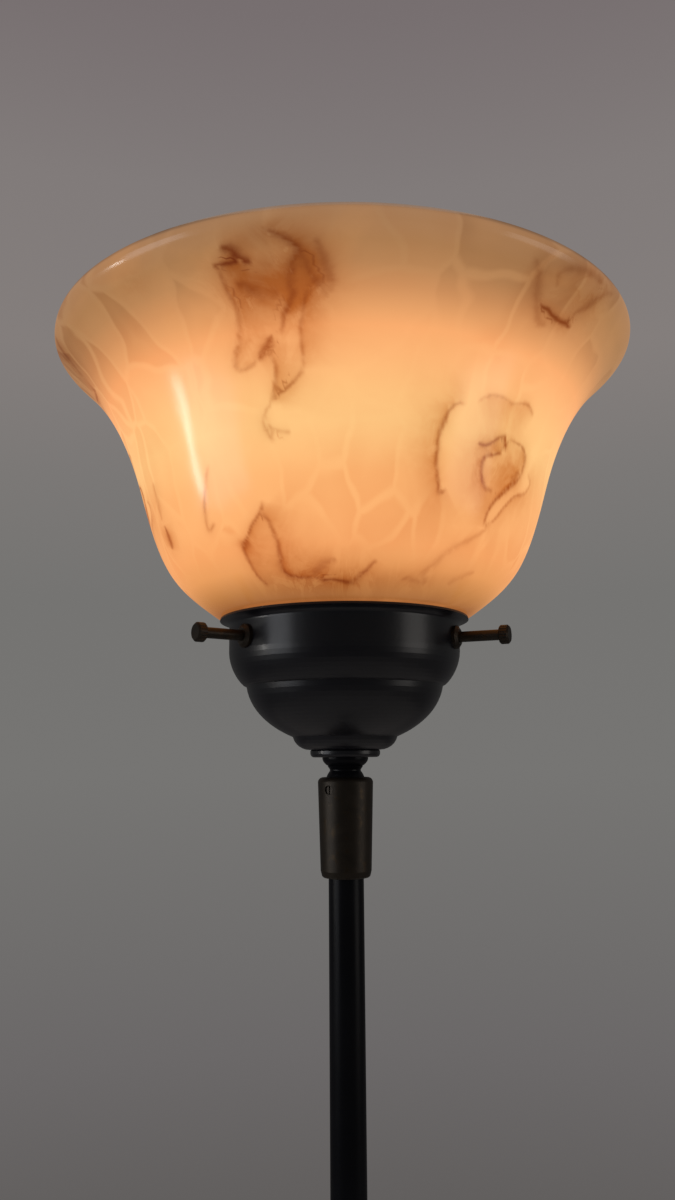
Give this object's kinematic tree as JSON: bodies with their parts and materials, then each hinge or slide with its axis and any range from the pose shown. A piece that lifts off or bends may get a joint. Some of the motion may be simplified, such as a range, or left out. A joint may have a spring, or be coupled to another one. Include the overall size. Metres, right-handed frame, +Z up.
{
  "type": "torchiere floor lamp",
  "caption": "Tall torchiere floor lamp: weighted round base, slim black pole, ball joint, spun metal gallery with thumbscrews and an upturned marbled amber glass bell.",
  "frame": {"origin": "centre of the underside of the base, on the floor", "axes": "+Z up the pole; +Y towards the lead's inlet and one thumbscrew; +X to the right seen from the front, at -Y"},
  "size_m": [0.28, 0.28, 1.75],
  "materials": {
    "felt": "dense felt, matte",
    "cast_iron": "as cast, dull",
    "black_enamel": "semi-gloss blue-black enamel on spun steel",
    "black_tube": "satin black enamel",
    "dark_bronze": "satin dark bronze plate",
    "zinc_steel": "zinc plated, satin",
    "brass": "turned, satin",
    "rubber": "matte",
    "block_plastic": "moulded",
    "holder_plastic": "moulded phenolic, slight gloss",
    "core_ceramic": "unglazed",
    "flex_sheath": "soft sheath",
    "pad_nylon": "natural nylon",
    "shade_glass": "amber and cream art glass with brown swirls, glossy outside",
    "bulb_envelope": "frosted inside",
    "cap_metal": "plain rolled",
    "black_vitrite": "black fused glass",
    "mount_glass": "clear",
    "filament_wire": "glowing wire"
  },
  "bodies": {
    "stand": {"base_felt": "felt", "base_weight": "cast_iron", "base_cover": "black_enamel", "cord_bush": "rubber", "terminal_block": "block_plastic", "terminal_screws": "brass", "base_rod": "zinc_steel", "base_washer": "zinc_steel", "base_nut": "zinc_steel", "pole_foot": "black_enamel", "foot_bush": "zinc_steel", "pole_lower": "black_tube", "joiner_lower": "zinc_steel", "pole_middle": "black_tube", "joiner_upper": "zinc_steel", "pole_upper": "black_tube", "inner_flex": "flex_sheath", "top_bush": "brass", "swivel_housing": "dark_bronze", "grub_screw": "dark_bronze", "seat_spring": "zinc_steel"},
    "swivel": {"ball_seat": "brass"},
    "head": {"ball_stem": "black_tube", "check_washer": "black_enamel", "gallery": "black_enamel", "screw_bosses": "dark_bronze", "stem_nut": "zinc_steel", "holder_cap": "holder_plastic", "holder_core": "core_ceramic", "holder_shell": "brass", "holder_contact": "brass", "holder_screws": "brass", "holder_skirt": "holder_plastic", "head_flex": "flex_sheath"},
    "shade": {"glass_shade": "shade_glass"},
    "bulb_tip": {"bulb_contact": "cap_metal"},
    "bulb": {"bulb_glass": "bulb_envelope", "bulb_cap": "cap_metal", "bulb_insulator": "black_vitrite", "bulb_mount": "mount_glass", "bulb_filament": "filament_wire"},
    "pad_1": {"screw_pad_1": "pad_nylon"},
    "screw_1": {"thumbscrew_1": "dark_bronze"},
    "pad_2": {"screw_pad_2": "pad_nylon"},
    "screw_2": {"thumbscrew_2": "dark_bronze"},
    "pad_3": {"screw_pad_3": "pad_nylon"},
    "screw_3": {"thumbscrew_3": "dark_bronze"}
  },
  "joints": [
    {"name": "head_turn", "type": "hinge", "parent": "stand", "child": "swivel", "pos_m": [0, 0, 1.5431], "axis": [0, 0, 1], "range_deg": [-170, 170]},
    {"name": "head_tilt", "type": "hinge", "parent": "swivel", "child": "head", "pos_m": [0, 0, 1.5431], "axis": [1, 0, 0], "range_deg": [-15, 15]},
    {"name": "shade_lift", "type": "slide", "parent": "head", "child": "shade", "axis": [0, 0, 1], "range_m": [0, 0.18]},
    {"name": "thumbscrew_1_travel", "type": "slide", "parent": "head", "child": "pad_1", "axis": [0, 1, 0], "range_m": [0, 0.0032]},
    {"name": "thumbscrew_1_turn", "type": "hinge", "parent": "pad_1", "child": "screw_1", "pos_m": [0, 0.056, 1.608], "axis": [0, 1, 0], "range_deg": [0, 1441]},
    {"name": "thumbscrew_2_travel", "type": "slide", "parent": "head", "child": "pad_2", "axis": [-0.866, -0.5, 0], "range_m": [0, 0.0032]},
    {"name": "thumbscrew_2_turn", "type": "hinge", "parent": "pad_2", "child": "screw_2", "pos_m": [-0.0485, -0.028, 1.608], "axis": [-0.866, -0.5, 0], "range_deg": [0, 1441]},
    {"name": "thumbscrew_3_travel", "type": "slide", "parent": "head", "child": "pad_3", "axis": [0.866, -0.5, 0], "range_m": [0, 0.0032]},
    {"name": "thumbscrew_3_turn", "type": "hinge", "parent": "pad_3", "child": "screw_3", "pos_m": [0.0485, -0.028, 1.608], "axis": [0.866, -0.5, 0], "range_deg": [0, 1441]},
    {"name": "bulb_travel", "type": "slide", "parent": "head", "child": "bulb_tip", "axis": [0, 0, 1], "range_m": [0, 0.0219]},
    {"name": "bulb_turn", "type": "hinge", "parent": "bulb_tip", "child": "bulb", "pos_m": [0, 0, 1.6165], "axis": [0, 0, 1], "range_deg": [0, 2160]}
  ],
  "couplings": [
    {"joint": "thumbscrew_1_turn", "follows": "thumbscrew_1_travel", "rad_per_m": 7854},
    {"joint": "thumbscrew_2_turn", "follows": "thumbscrew_2_travel", "rad_per_m": 7854},
    {"joint": "thumbscrew_3_turn", "follows": "thumbscrew_3_travel", "rad_per_m": 7854},
    {"joint": "bulb_travel", "follows": "bulb_turn", "m_per_rad": 0.00057757}
  ]
}
